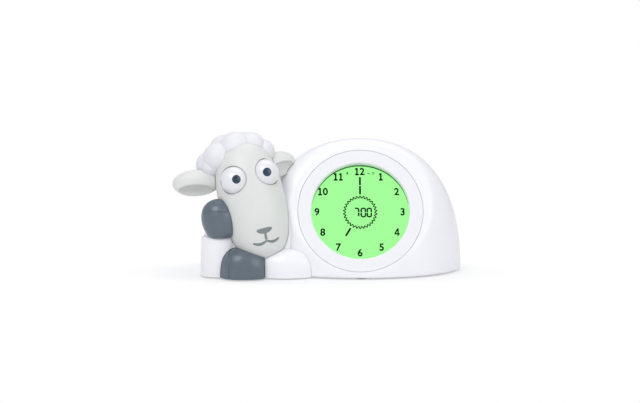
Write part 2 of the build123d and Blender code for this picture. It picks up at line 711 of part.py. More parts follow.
with BuildPart() as lock_slider:
    lock_at = (lock_spot[0] + lock_travel / 2, lock_spot[1])
    add(slab(back, lock_width, lock_height, -1.2, wall + 0.2, [lock_at]))
    add(slab(back, lock_width + 6, lock_height + 4, wall + 0.1, wall + 1.1, [lock_at]))
    add(slab(back, 1.6, 1.6, wall + 1.1, switch_depth - 0.2, [lock_at]))
    ridges = [(lock_at[0] + x, lock_at[1]) for x in (-1.2, 0, 1.2)]
    add(slab(back, 0.5, lock_height, -1.5, -1.2, ridges))
lock_slider.part.label = "lock_slider"
export_step(lock_slider.part, "parts/lock_slider.step")

with BuildPart() as tact_switches:
    add(slab(back, switch_size, switch_size, switch_depth, key_board_depth, key_spots))
    add(bar(back, 1.7, switch_depth - 0.75, switch_depth, key_spots))
tact_switches.part.label = "tact_switches"
export_step(tact_switches.part, "parts/tact_switches.step")

with BuildPart() as slide_switch:
    add(slab(back, 10, 4.4, switch_depth, key_board_depth, [lock_spot]))
slide_switch.part.label = "slide_switch"
export_step(slide_switch.part, "parts/slide_switch.step")

with BuildPart() as key_board:
    add(slab(back, key_board_width, key_board_height, key_board_depth,
             key_board_depth + key_board_thick, [key_board_middle], 1))
    add(bar(back, screw_bore + 0.15, 0, 20, key_post_spots), mode=Mode.SUBTRACT)
key_board.part.label = "key_board"
export_step(key_board.part, "parts/key_board.step")

inside_back = Plane(origin=back.origin, x_dir=-back.x_dir, z_dir=-back_normal)
inside_dial = Plane(origin=dial.origin, x_dir=-dial.x_dir, z_dir=-dial_normal)
with BuildPart() as inner_screws:
    flipped_posts = [(-x, y) for x, y in post_spots]
    add(screws(inside_dial, flipped_posts, -board_back, board_back - floor_depth - 0.7))
    add(screws(inside_dial, [(-x, y) for x, y in frame_spots], -frame_back, 8))
    add(screws(inside_back, [(-x, y) for x, y in key_post_spots],
               -key_board_depth - key_board_thick, 6))
    add(screws(inside_back, [(-x, y) for x, y in tray_screw_spots], -pad_depth - 1.6, 3.8))
    add(screws(Plane.XY, usb_post_spots, -usb_board_top, 5))
inner_screws.part.label = "inner_screws"
export_step(inner_screws.part, "parts/inner_screws.step")

# ------------------------------------------------------------ arms and hooves
def high_hoof_form(inset):
    """The hoof held up to the cheek, cut flat where it stands on the support arm."""
    top = hump(*[high_hoof_wide - inset] * 2, *[high_hoof_deep - inset] * 2, high_hoof_tall - inset, 2.2)
    hoof = top + mirror(top, about=Plane.XY, mode=Mode.PRIVATE)
    hoof = Pos(high_hoof_x, high_hoof_y, high_hoof_z) * Rot(0, -high_hoof_tilt, 0) * hoof
    rest = Plane.XY.offset(base_z + support_top + hoof_gap + inset)
    return split(hoof, bisect_by=rest, keep=Keep.TOP, mode=Mode.PRIVATE)


neck_seat = 21.5  # the neck screws rest on the cradle this far behind the head's middle
neck_spots = [(-13, -13), (-2, -13)]

with BuildPart() as arm_cavity:
    add(arm_inner)
    for front in (True, False):
        add(half_head(-head_gap - wall, front), mode=Mode.SUBTRACT)
    add(bar(table, boss_radius, boss_foot, boss_foot + 9, on_table(arm_base_spots)),
        mode=Mode.SUBTRACT)

with BuildPart() as arm_shell:
    add(arm_form(0))
    add(arm_cavity.part, mode=Mode.SUBTRACT)
    for half in around_head:
        add(half, mode=Mode.SUBTRACT)
    add(beside_housing, mode=Mode.SUBTRACT)
    add(low_hoof_form(-hoof_gap), mode=Mode.SUBTRACT)
    add(bar(table, screw_bore, base_z, boss_foot + 8, on_table(arm_base_spots)),
        mode=Mode.SUBTRACT)
    add(bar(brow, screw_bore + 0.15, 0, neck_seat, neck_spots), mode=Mode.SUBTRACT)
    add(bar(brow, screw_head + gap, neck_seat, 40, neck_spots), mode=Mode.SUBTRACT)
arm_shell.part.label = "arm_shell"
export_step(arm_shell.part, "parts/arm_shell.step")

with BuildPart() as lower_hoof:
    add(low_hoof_form(0))
    groove = slab(Plane.XY, cleft, 200, -200, 200, [(low_hoof_x - low_hoof_left / 2, 0)])
    add(groove & (low_hoof_form(0) - low_hoof_form(cleft_deep)), mode=Mode.SUBTRACT)
    add(low_hoof_form(wall + cleft_deep), mode=Mode.SUBTRACT)
    add(floor_way, mode=Mode.SUBTRACT)
    for half in around_head:
        add(half, mode=Mode.SUBTRACT)
lower_hoof.part.label = "lower_hoof"
export_step(lower_hoof.part, "parts/lower_hoof.step")

with BuildPart() as upper_hoof:
    add(high_hoof_form(0))
    groove = slab(Plane.XY, 200, cleft, -200, 200, [(0, 0)])
    groove = Pos(high_hoof_x, high_hoof_y, high_hoof_z + 0.55 * high_hoof_tall) * Rot(98, 8, 0) * groove
    add(groove & (high_hoof_form(0) - high_hoof_form(cleft_deep)), mode=Mode.SUBTRACT)
    add(high_hoof_form(wall + cleft_deep), mode=Mode.SUBTRACT)
    for half in around_head:
        add(half, mode=Mode.SUBTRACT)
    add(chest_form(-hoof_gap), mode=Mode.SUBTRACT)
upper_hoof.part.label = "upper_hoof"
export_step(upper_hoof.part, "parts/upper_hoof.step")

# ------------------------------------------------------------ head shells
head_screw_spots = [(-16, -24), (17, 2), (0, 38)]
head_screw_seat = 9.0
socket_edge = eye_flat - 0.3  # the face's bridge between the eyes reaches this far from its middle
bracket_back = 7.6
bracket_thick = 2.0
bracket_spots = [(-18.3, eye_z), (18.3, eye_z)]


def in_head(x, y, z):
    return head.from_local_coords((x, y, z))


def ball(radius, side):
    """A sphere about one eye's middle."""
    return head.location * Pos(side * eye_x, eye_y, eye_z) * Rot(90, 0, 0) * Sphere(
        radius, mode=Mode.PRIVATE)


with BuildPart() as face_cavity:
    add(half_head(head_wall, True))
    add(bar(brow, 3, -40, 40, head_screw_spots), mode=Mode.SUBTRACT)

with BuildPart() as face_shell:
    add(half_head(0, True))
    add(face_cavity.part, mode=Mode.SUBTRACT)
    add(bar(brow, screw_bore, -16, 5, head_screw_spots), mode=Mode.SUBTRACT)
    for side in (-1, 1):
        socket = split(ball(eye_radius + socket_gap, side), bisect_by=temple.offset(side * socket_edge),
                       keep=Keep.TOP if side > 0 else Keep.BOTTOM, mode=Mode.PRIVATE)
        add(socket, mode=Mode.SUBTRACT)
    add(beside_housing, mode=Mode.SUBTRACT)
face_shell.part.label = "face_shell"
export_step(face_shell.part, "parts/face_shell.step")

with BuildPart() as nape_cavity:
    add(half_head(head_wall, False))
    add(bar(brow, 4, -40, 40, head_screw_spots), mode=Mode.SUBTRACT)
    add(bar(brow, 3.2, bracket_back, 40, bracket_spots), mode=Mode.SUBTRACT)
    add(bar(brow, 3.6, 7, 40, neck_spots), mode=Mode.SUBTRACT)

with BuildPart() as head_back:
    add(half_head(0, False))
    add(nape_cavity.part, mode=Mode.SUBTRACT)
    add(bar(brow, screw_bore + 0.15, -40, 40, head_screw_spots),
        mode=Mode.SUBTRACT)
    add(bar(brow, screw_head + gap, head_screw_seat, 40, head_screw_spots),
        mode=Mode.SUBTRACT)
    add(bar(brow, screw_bore, 0, bracket_back + 7, bracket_spots), mode=Mode.SUBTRACT)
    add(bar(brow, screw_bore, 8, 40, neck_spots), mode=Mode.SUBTRACT)
    add(beside_housing, mode=Mode.SUBTRACT)
head_back.part.label = "head_back"
export_step(head_back.part, "parts/head_back.step")

with BuildPart() as head_screws:
    add(screws(nape, [(-x, z) for x, z in head_screw_spots], -head_screw_seat, 18))
    add(screws(nape, [(-x, z) for x, z in neck_spots], -neck_seat, 12))
    add(screws(brow, bracket_spots, bracket_back - bracket_thick, 8))
head_screws.part.label = "head_screws"
export_step(head_screws.part, "parts/head_screws.step")

# Curls of wool: middle (x, y, z) from the head's middle, and radius
wool_curls = [
    (-25, 2, 36, 9), (-19, 0, 41, 12.5), (-3, -1, 45, 14), (10, 0, 44, 12), (18.5, 2, 38, 10.5),
    (-11, 8, 47, 12.5), (5, 8, 46, 12.5), (-26, 10, 38, 11), (18, 12, 37, 11),
    (-20, 16, 33, 12), (-4, 17, 38, 13), (12, 17, 33, 12), (-26, 14, 26, 9), (21, 13, 27, 9.5),
]
with BuildPart() as wool_cap:
    for x, y, z, radius in wool_curls:
        add(head.location * Pos(x, y, z) * pole_turn * Sphere(radius, mode=Mode.PRIVATE))
    for front in (True, False):
        add(half_head(0, front), mode=Mode.SUBTRACT)
wool_cap.part.label = "wool_cap"
export_step(wool_cap.part, "parts/wool_cap.step")

# Each ear is a leaf hollowed underneath: root and turn in the head's own directions
ear_length = 20.0
ear_half_width = 11.0
ear_half_thick = 7.5
for name, hand, root, turn in (
    ("left", -1, (-27, 3, 23), (10, 8, -14)),
    ("right", 1, (14.5, 0, 23.5), (-10, -10, 22)),
):
    leaf = ellipsoid(ear_length, ear_half_thick, ear_half_width)
    hollow = Pos(hand * 1, -4.5, -6.5) * ellipsoid(ear_length - 6, ear_half_thick - 1.5, ear_half_width - 4.5)
    leaf = Pos(hand * (ear_length - 6), 0, 0) * (leaf - hollow)
    with BuildPart() as ear:
        add(head.location * Pos(*root) * Rot(*turn) * leaf)
        for half in around_head:
            add(half, mode=Mode.SUBTRACT)
        add(wool_cap.part, mode=Mode.SUBTRACT)
        add(beside_housing, mode=Mode.SUBTRACT)
    ear.part.label = f"ear_{name}"
    export_step(ear.part, f"parts/ear_{name}.step")

# ------------------------------------------------------------ eyes and the gear train that rolls them
mesh_step = tooth_module / 2
idler_y = eye_y + mesh_step * (eye_teeth + idler_teeth)
pinion_y = idler_y + mesh_step * (idler_teeth + pinion_teeth)
eye_axis = (eye_y, eye_z)
idler_axis = (idler_y, eye_z)
pinion_axis = (pinion_y, eye_z)
hub_end = eye_x + 8.0
pin_head = 0.8
idler_turn = 180 / idler_teeth  # a gap faces the eye's first tooth

for name, side in (("left", -1), ("right", 1)):

    def between(near, far):
        """Depths on the temple plane that span two distances from the head's middle."""
        return (-far, -near) if side > 0 else (near, far)

    inner_face = temple.offset(side * eye_flat)
    inner_wall = temple.offset(side * (eye_flat + eye_wall))
    keep_ball = Keep.TOP if side > 0 else Keep.BOTTOM
    shell = split(ball(eye_radius, side), bisect_by=inner_face, keep=keep_ball, mode=Mode.PRIVATE)
    hollow = split(ball(eye_radius - eye_wall, side), bisect_by=inner_wall, keep=keep_ball,
                   mode=Mode.PRIVATE)
    shell = shell - hollow
    parting_line = Plane(origin=in_head(0, eye_y, 0), z_dir=head.y_dir)
    pupil_bar = bar(brow, pupil_radius, -40, eye_y, [(side * eye_x, eye_z)])
    pupil_hole = bar(brow, pupil_radius + running, -40, eye_y, [(side * eye_x, eye_z)])

    with BuildPart() as eye_white:
        add(split(shell, bisect_by=parting_line, keep=Keep.BOTTOM, mode=Mode.PRIVATE))
        add(bar(temple, hub_radius + 0.1, *between(eye_flat - 1, eye_x + eye_radius), [eye_axis]),
            mode=Mode.SUBTRACT)
        add(pupil_hole, mode=Mode.SUBTRACT)
    eye_white.part.label = f"eye_white_{name}"
    export_step(eye_white.part, f"parts/eye_white_{name}.step")

    with BuildPart() as pupil:
        add(pupil_bar)
        add(ball(eye_radius, side), mode=Mode.INTERSECT)
        add(ball(eye_radius - eye_wall, side), mode=Mode.SUBTRACT)
    pupil.part.label = f"pupil_{name}"
    export_step(pupil.part, f"parts/pupil_{name}.step")

    with BuildPart() as eye_lid:
        add(split(shell, bisect_by=parting_line, keep=Keep.TOP, mode=Mode.PRIVATE))
        add(bar(temple, hub_radius, *between(wheel_inner, hub_end), [eye_axis]))
        add(gear(temple, eye_teeth, *between(wheel_inner, wheel_outer), eye_axis))
        add(bar(temple, pin_radius + running, *between(0, 30), [eye_axis]), mode=Mode.SUBTRACT)
        add(bar(temple, 2.3, *between(hub_end, 30), [eye_axis]), mode=Mode.SUBTRACT)
    eye_lid.part.label = f"eye_lid_{name}"
    export_step(eye_lid.part, f"parts/eye_lid_{name}.step")

    with BuildPart() as idler:
        add(gear(temple, idler_teeth, *between(wheel_inner, wheel_outer - 0.3), idler_axis, idler_turn))
        add(bar(temple, 0.75 + running, *between(0, 6), [idler_axis]), mode=Mode.SUBTRACT)
    idler.part.label = f"idler_{name}"
    export_step(idler.part, f"parts/idler_{name}.step")

    with BuildPart() as pinion:
        add(gear(temple, pinion_teeth, *between(wheel_inner, wheel_outer - 0.3), pinion_axis))
        add(bar(temple, pin_radius, *between(0, 6), [pinion_axis]), mode=Mode.SUBTRACT)
    pinion.part.label = f"pinion_{name}"
    export_step(pinion.part, f"parts/pinion_{name}.step")

with BuildPart() as eye_pin:
    add(bar(temple, pin_radius, -hub_end - 0.1, hub_end + 0.1, [eye_axis]))
    for start in (-hub_end - 0.1 - pin_head, hub_end + 0.1):
        add(bar(temple, 1.8, start, start + pin_head, [eye_axis]))
eye_pin.part.label = "eye_pin"
export_step(eye_pin.part, "parts/eye_pin.step")

with BuildPart() as idler_pin:
    add(bar(temple, 0.75, -wheel_outer + 0.2, wheel_outer - 0.2, [idler_axis]))
    for start in (-wheel_outer - 0.3, wheel_outer - 0.2):
        add(bar(temple, 1.4, start, start + 0.5, [idler_axis]))
idler_pin.part.label = "idler_pin"
export_step(idler_pin.part, "parts/idler_pin.step")

motor_start = wheel_outer + 0.8
with BuildPart() as motor_shaft:
    add(bar(temple, pin_radius, -motor_start - 1, wheel_outer, [pinion_axis]))
motor_shaft.part.label = "motor_shaft"
export_step(motor_shaft.part, "parts/motor_shaft.step")

with BuildPart() as eye_motor:
    add(bar(temple, motor_radius, -motor_start - motor_length, -motor_start, [pinion_axis]))
    add(bar(temple, 1.8, -motor_start - motor_length - 1, -motor_start - motor_length, [pinion_axis]))
    add(bar(temple, pin_radius + running, -motor_start - 1.1, 0, [pinion_axis]), mode=Mode.SUBTRACT)
eye_motor.part.label = "eye_motor"
export_step(eye_motor.part, "parts/eye_motor.step")

with BuildPart() as eye_bracket:
    plate_middle = (eye_y + bracket_back) / 2
    plate_length = bracket_back - eye_y
    add(slab(temple, plate_length, 9, -plate_half, plate_half, [(plate_middle, eye_z)]))
    add(bar(temple, 4.5, -plate_half, plate_half, [eye_axis]))
    add(slab(brow, 41.4, 12, bracket_back - bracket_thick, bracket_back, [(0, eye_z)], 2))
    add(slab(temple, 4.6, 2 * motor_radius + 4, -motor_start - motor_length + 1, -motor_start - 1,
             [(bracket_back - bracket_thick - 2.3, eye_z)]))
    add(bar(temple, motor_radius + 0.05, -motor_start - motor_length, -motor_start, [pinion_axis]),
        mode=Mode.SUBTRACT)
    add(bar(temple, pin_radius, -2, 2, [eye_axis]), mode=Mode.SUBTRACT)
    add(bar(temple, 0.75, -2, 2, [idler_axis]), mode=Mode.SUBTRACT)
    add(bar(temple, pin_radius + running, -2, 2, [pinion_axis]), mode=Mode.SUBTRACT)
    add(bar(brow, screw_bore + 0.15, 0, 20, bracket_spots), mode=Mode.SUBTRACT)
eye_bracket.part.label = "eye_bracket"
export_step(eye_bracket.part, "parts/eye_bracket.step")
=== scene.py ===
import json
from math import cos, pi, radians, sin, sqrt, tan

import bmesh
import bpy
from mathutils import Matrix, Vector
from mathutils.bvhtree import BVHTree


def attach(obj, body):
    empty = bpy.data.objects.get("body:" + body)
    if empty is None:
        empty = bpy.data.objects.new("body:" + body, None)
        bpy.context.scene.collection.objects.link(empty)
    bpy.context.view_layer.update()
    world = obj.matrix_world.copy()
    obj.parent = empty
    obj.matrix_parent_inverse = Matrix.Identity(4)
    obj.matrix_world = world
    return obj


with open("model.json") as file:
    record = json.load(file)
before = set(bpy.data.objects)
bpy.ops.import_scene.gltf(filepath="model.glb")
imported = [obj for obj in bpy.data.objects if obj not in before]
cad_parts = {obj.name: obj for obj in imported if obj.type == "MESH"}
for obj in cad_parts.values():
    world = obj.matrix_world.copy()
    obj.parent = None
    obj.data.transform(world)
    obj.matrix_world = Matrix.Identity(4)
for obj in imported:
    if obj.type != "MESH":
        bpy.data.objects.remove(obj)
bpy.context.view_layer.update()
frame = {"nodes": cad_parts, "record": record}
nodes = frame["nodes"]
scene = bpy.context.scene
MM = 0.001
RIGHT = Vector((1, 0, 0))  # the object faces ahead, and this is right as one looks at it
AHEAD = Vector((0, -1, 0))


# ------------------------------------------------------------ shader nodes
MIX_COLOUR_A = 6  # a Mix node's colour sockets come after those for numbers and vectors
MIX_COLOUR_B = 7
MIX_COLOUR_OUT = 2


def feed(tree, node, inputs):
    """Gives each named or numbered input of a node a value, or another node's output."""
    for socket, value in inputs.items():
        if isinstance(value, bpy.types.NodeSocket):
            tree.links.new(value, node.inputs[socket])
        else:
            node.inputs[socket].default_value = value


def add_node(tree, kind, inputs):
    node = tree.nodes.new("ShaderNode" + kind)
    feed(tree, node, inputs)
    return node


def worked_out(tree, operation, first, second):
    """The output of a Math node."""
    node = add_node(tree, "Math", {0: first, 1: second})
    node.operation = operation
    return node.outputs[0]


def mixed_shader(tree, share, first, second):
    """One shader that goes from first to second as share goes from 0 to 1."""
    node = add_node(tree, "MixShader", {0: share, 1: first.outputs[0], 2: second.outputs[0]})
    return node.outputs[0]


def mixed_colour(tree, share, first, second):
    """One colour that goes from first to second as share goes from 0 to 1."""
    node = tree.nodes.new("ShaderNodeMix")
    node.data_type = "RGBA"
    feed(tree, node, {"Factor": share, MIX_COLOUR_A: (*first, 1), MIX_COLOUR_B: (*second, 1)})
    return node.outputs[MIX_COLOUR_OUT]


def clouds(tree, scale, detail=2):
    """Noise that stays with its piece and is finer for a larger scale."""
    place = tree.nodes.new("ShaderNodeTexCoord")
    node = add_node(tree, "TexNoise", {"Vector": place.outputs["Object"], "Scale": scale,
                                       "Detail": detail})
    return node.outputs["Fac"]


def new_material(name):
    """A material and its node tree."""
    material = bpy.data.materials.new(name)
    material.use_nodes = True
    return material, material.node_tree


# ------------------------------------------------------------ camera, lights and backdrop, in metres
camera_lens = 74  # mm
camera_tilt = radians(8)
camera_distance = 1.1
camera_target = Vector((0.0021, 0, 0.0598))
world_light = 0.62  # strength of the light that falls on the object
world_seen = 1.0  # strength of the white that the camera sees
lamp_target = Vector((0, 0, 0.05))
lamps = [  # name, place, width, height, power
    ("key", (-0.55, -1.0, 1.15), 0.9, 0.9, 9.0),
    ("fill", (0.9, -0.9, 0.6), 0.8, 0.8, 3.5),
    ("top", (0.1, 0.4, 1.3), 1.0, 0.8, 4.0),
]
floor_half = 6.0
shade_half_width = 0.127  # the oval of floor around the feet that keeps its shade
shade_half_depth = 0.047
shade_full = 0.85  # the shade fades between these shares of the oval
shade_none = 1.35
least_white = 0.42  # share of plain white within the oval


def look_at(thing, target):
    thing.rotation_euler = (target - thing.location).to_track_quat("-Z", "Y").to_euler()


def add_camera():
    lens = bpy.data.cameras.new("camera")
    lens.lens = camera_lens
    lens.sensor_width = 36
    camera = bpy.data.objects.new("camera", lens)
    toward_camera = Vector((0, -cos(camera_tilt), sin(camera_tilt)))
    camera.location = camera_target + camera_distance * toward_camera
    look_at(camera, camera_target)
    scene.collection.objects.link(camera)
    scene.camera = camera


def add_lamp(name, place, width, height, power):
    light = bpy.data.lights.new(name, "AREA")
    light.shape = "RECTANGLE"
    light.size = width
    light.size_y = height
    light.energy = power
    lamp = bpy.data.objects.new(name, light)
    lamp.location = place
    look_at(lamp, lamp_target)
    scene.collection.objects.link(lamp)


def set_world():
    """Pale light from all round, and plain white where the camera looks past the floor."""
    world = bpy.data.worlds.new("studio")
    world.use_nodes = True
    scene.world = world
    tree = world.node_tree
    tree.nodes.clear()
    light = add_node(tree, "Background", {"Color": (0.95, 0.97, 1.0, 1), "Strength": world_light})
    view = add_node(tree, "Background", {"Color": (1, 1, 1, 1), "Strength": world_seen})
    path = tree.nodes.new("ShaderNodeLightPath")
    both = mixed_shader(tree, path.outputs["Is Camera Ray"], light, view)
    add_node(tree, "OutputWorld", {"Surface": both})


def seen_directly(tree):
    """1 on rays from the camera or off gloss and glass, 0 on rays that carry soft light."""
    path = tree.nodes.new("ShaderNodeLightPath")
    camera_or_gloss = worked_out(tree, "MAXIMUM", path.outputs["Is Camera Ray"],
                                 path.outputs["Is Glossy Ray"])
    return worked_out(tree, "MAXIMUM", camera_or_gloss, path.outputs["Is Transmission Ray"])


def floor_white():
    """Pale paint that takes the object's shade near its feet and is seen as white farther out."""
    material, tree = new_material("floor_white")
    tree.nodes.clear()
    paint = add_node(tree, "BsdfDiffuse", {"Color": (0.86, 0.86, 0.87, 1)})
    glow = add_node(tree, "Emission", {"Strength": 1.0})
    place = tree.nodes.new("ShaderNodeTexCoord")
    oval = add_node(tree, "Mapping", {"Vector": place.outputs["Object"],
                                      "Scale": (1 / shade_half_width, 1 / shade_half_depth, 0)})
    away = add_node(tree, "VectorMath", {0: oval.outputs[0]})
    away.operation = "LENGTH"
    fade = add_node(tree, "MapRange", {"Value": away.outputs["Value"], "From Min": shade_full,
                                       "From Max": shade_none, "To Min": least_white, "To Max": 1.0})
    fade.interpolation_type = "SMOOTHSTEP"
    white = worked_out(tree, "MULTIPLY", seen_directly(tree), fade.outputs["Result"])
    add_node(tree, "OutputMaterial", {"Surface": mixed_shader(tree, white, paint, glow)})
    return material


def add_floor():
    mesh = bpy.data.meshes.new("floor")
    corners = [(x * floor_half, y * floor_half, 0) for x, y in ((-1, -1), (1, -1), (1, 1), (-1, 1))]
    mesh.from_pydata(corners, [], [(0, 1, 2, 3)])
    mesh.materials.append(floor_white())
    floor = bpy.data.objects.new("floor", mesh)
    scene.collection.objects.link(floor)


# ------------------------------------------------------------ materials
def moulded(name, colour, roughness, grain=0.02, coat=0.0, mottle=0.02, metallic=0.0, speck=2600,
            edge=0.0):
    """Moulded plastic, rubber or metal: faint colour mottle, roughness drift and surface grain.

    speck is the grain's fineness, and edge the radius in mm to which sharp edges look rounded.
    """
    material, tree = new_material(name)
    drift = clouds(tree, 55, 3)
    darker = [c * (1 - mottle) for c in colour]
    lighter = [min(1, c * (1 + mottle)) for c in colour]
    polish = add_node(tree, "MapRange", {"Value": drift, "To Min": max(0.02, roughness - 0.05),
                                         "To Max": roughness + 0.05})
    relief = add_node(tree, "Bump", {"Height": clouds(tree, speck), "Strength": grain,
                                     "Distance": 0.2 * MM})
    if edge:
        rounding = add_node(tree, "Bevel", {"Radius": edge * MM})
        rounding.samples = 4
        feed(tree, relief, {"Normal": rounding.outputs[0]})
    feed(tree, tree.nodes["Principled BSDF"], {
        "Base Color": mixed_colour(tree, drift, darker, lighter),
        "Metallic": metallic,
        "Roughness": polish.outputs["Result"],
        "Coat Weight": coat,
        "Coat Roughness": 0.12,
        "Normal": relief.outputs[0],
    })
    return material


def flat_ink(name, colour):
    """Matt ink with next to no gloss; also the matt painted shade at the display's edge."""
    material = moulded(name, colour, 0.6)
    feed(material.node_tree, material.node_tree.nodes["Principled BSDF"], {"Specular IOR Level": 0.02})
    return material


def glowing(name, colour, strength):
    """A backlit panel: dark green behind its light, which varies by the faintest clouds."""
    material, tree = new_material(name)
    dimmer = [c * 0.97 for c in colour]
    feed(tree, tree.nodes["Principled BSDF"], {
        "Base Color": (0.02, 0.10, 0.02, 1),
        "Roughness": 0.4,
        "Specular IOR Level": 0.1,
        "Emission Color": mixed_colour(tree, clouds(tree, 30), dimmer, colour),
        "Emission Strength": strength,
    })
    return material


def clear_window(name):
    """Thin clear acrylic: light passes straight through, with a gloss that grows at a slant."""
    material, tree = new_material(name)
    tree.nodes.clear()
    through = tree.nodes.new("ShaderNodeBsdfTransparent")
    scuffs = add_node(tree, "Bump", {"Height": clouds(tree, 900), "Strength": 0.01,
                                     "Distance": 0.1 * MM})
    gloss = add_node(tree, "BsdfGlossy", {"Roughness": 0.03, "Normal": scuffs.outputs[0]})
    slant = tree.nodes.new("ShaderNodeLayerWeight")
    steep = worked_out(tree, "POWER", slant.outputs["Facing"], 2)
    shine = add_node(tree, "MapRange", {"Value": steep, "To Min": 0.004, "To Max": 0.3})
    both = mixed_shader(tree, shine.outputs["Result"], through, gloss)
    add_node(tree, "OutputMaterial", {"Surface": both})
    return material


face_colour = (0.69, 0.70, 0.68)
materials = {  # by the record's material slots
    "white_shell": moulded("white_moulding", (0.845, 0.84, 0.872), 0.38, coat=0.15, edge=0.35),
    "face_grey": moulded("face_moulding", face_colour, 0.42, edge=0.25),
    "hoof_grey": moulded("hoof_moulding", (0.105, 0.135, 0.165), 0.3, coat=0.15, mottle=0.05, edge=0.9),
    "eye_white": moulded("eye_moulding", (0.765, 0.755, 0.79), 0.2, coat=0.4, grain=0.005),
    "pupil_navy": moulded("pupil_moulding", (0.012, 0.035, 0.065), 0.2, coat=0.2, grain=0.005),
    "window_clear": clear_window("dial_window_clear"),
    "lcd_green": glowing("lcd_backlit", (0.37, 1.0, 0.32), 0.95),
    "guide_clear": moulded("guide_acrylic", (0.8, 0.85, 0.8), 0.2),
    "inner_black": moulded("inner_black", (0.012, 0.012, 0.014), 0.5),
    "inner_white": moulded("inner_white", (0.7, 0.7, 0.69), 0.45),
    "board_green": moulded("board_green", (0.01, 0.09, 0.03), 0.35, coat=0.3),
    "chip_black": moulded("chip_black", (0.012, 0.012, 0.013), 0.5),
    "steel": moulded("screw_steel", (0.55, 0.55, 0.56), 0.3, metallic=1.0),
    "can_metal": moulded("can_metal", (0.62, 0.62, 0.63), 0.28, metallic=1.0),
    "ribbon_tan": moulded("ribbon_film", (0.42, 0.2, 0.05), 0.35),
    "wheel_pom": moulded("wheel_pom", (0.75, 0.75, 0.7), 0.35),
    "rubber_grey": moulded("foot_rubber", (0.06, 0.06, 0.062), 0.75, grain=0.1),
    "foam_black": moulded("gasket_foam", (0.015, 0.015, 0.015), 0.9, grain=0.4, speck=1500),
}
ear_moulding = moulded("ear_moulding", face_colour, 0.42, edge=1.2)
own_looks = {  # nodes that look different from the rest of their slot
    # painted shade: the wool is the shell's white made darker, standing in for the shade that falls on
    # it
    "wool_cap": moulded("wool_moulding_painted_shade", (0.76, 0.755, 0.79), 0.55, edge=0.35),
    # painted shade: the bezel is the shell's white made darker, standing in for the shade that falls on
    # it
    "bezel_ring": moulded("bezel_moulding_painted_shade", (0.80, 0.795, 0.83), 0.42, coat=0.1, edge=0.3),
    "feet": moulded("foot_silicone", (0.56, 0.56, 0.58), 0.6, grain=0.06),
    "ear_left": ear_moulding,
    "ear_right": ear_moulding,
}
ink = flat_ink("lcd_ink", (0.002, 0.016, 0.004))
# painted shade: dark green standing in for the shadow under the bezel's rim at the display's top edge
edge_painted_shade = flat_ink("lcd_edge_shade", (0.045, 0.23, 0.055))
faint_ink = flat_ink("lcd_ink_faint", (0.06, 0.25, 0.06))
print_grey = moulded("face_print", (0.20, 0.235, 0.235), 0.5)


def dress_nodes():
    """Gives each CAD node its slot's look, or its own where it has one."""
    for subpart in frame["record"]["subparts"]:
        node = nodes[subpart["node"]]
        node.data.materials.clear()
        look = own_looks.get(subpart["node"], materials[subpart["material_slot"]])
        node.data.materials.append(look)


# ------------------------------------------------------------ new pieces
def mesh_of(form, name):
    """The form as a mesh, after which the form is freed."""
    mesh = bpy.data.meshes.new(name)
    form.to_mesh(mesh)
    form.free()
    return mesh


def new_piece(name, mesh, material):
    """A piece on the housing, with its own material."""
    piece = bpy.data.objects.new(name, mesh)
    scene.collection.objects.link(piece)
    mesh.materials.append(material)
    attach(piece, "housing")


# ------------------------------------------------------------ ink, and a painted shade, on the dial, in mm
# The face leans back through (face_top_y, face_top_z), and the ink lies just in front of the display.
face_lean = radians(22)
face_top_y = 7.5
face_top_z = 110.0
dial_x = 35.5
dial_z = 54.5
dial_y = face_top_y - (face_top_z - dial_z) * tan(face_lean)
dial_middle = Vector((dial_x, dial_y, dial_z)) * MM
dial_up = Vector((0, sin(face_lean), cos(face_lean)))
dial_out = Vector((0, -cos(face_lean), sin(face_lean)))
ink_depth = 8.03  # of the ink's underside below the dial face
ink_thick = 0.04


def on_dial(x, up, depth):
    """The point this far right of the dial's middle, up its face and below it."""
    return dial_middle + (x * RIGHT + up * dial_up - depth * dial_out) * MM


def raised(outlines, thick=ink_thick):
    """A mesh of flat shapes on the display; each outline is a list of (x, up)."""
    form = bmesh.new()
    for outline in outlines:
        lower = [form.verts.new(on_dial(x, up, ink_depth)) for x, up in outline]
        upper = [form.verts.new(on_dial(x, up, ink_depth - thick)) for x, up in outline]
        form.faces.new(upper)
        form.faces.new(lower[::-1])
        for i in range(len(outline)):
            j = (i + 1) % len(outline)
            form.faces.new((lower[i], lower[j], upper[j], upper[i]))
    bmesh.ops.recalc_face_normals(form, faces=form.faces)
    return mesh_of(form, "dial_shapes")


def dial_piece(name, mesh, material=ink):
    """Ink on the display, and the painted shade at its edge; inner_black is the record's slot nearest
    to it.
    """
    new_piece(name, mesh, material)


def stroke(points, width):
    """The outline of an inked line of even width along its points."""
    path = [Vector(p) for p in points]
    left, right = [], []
    for i, point in enumerate(path):
        before = path[max(0, i - 1)]
        after = path[min(len(path) - 1, i + 1)]
        along = (after - before).normalized()
        side = Vector((-along.y, along.x)) * width / 2
        left.append(tuple(point + side))
        right.append(tuple(point - side))
    return left + right[::-1]


def spread(half, count):
    """Evenly spaced numbers from -half to half."""
    return [half * (2 * i / (count - 1) - 1) for i in range(count)]


def arc(middle, radius, start, end, steps=5):
    """Points on an arc between two angles in degrees."""
    turns = [radians(start + (end - start) * i / steps) for i in range(steps + 1)]
    return [(middle[0] + radius * cos(t), middle[1] + radius * sin(t)) for t in turns]


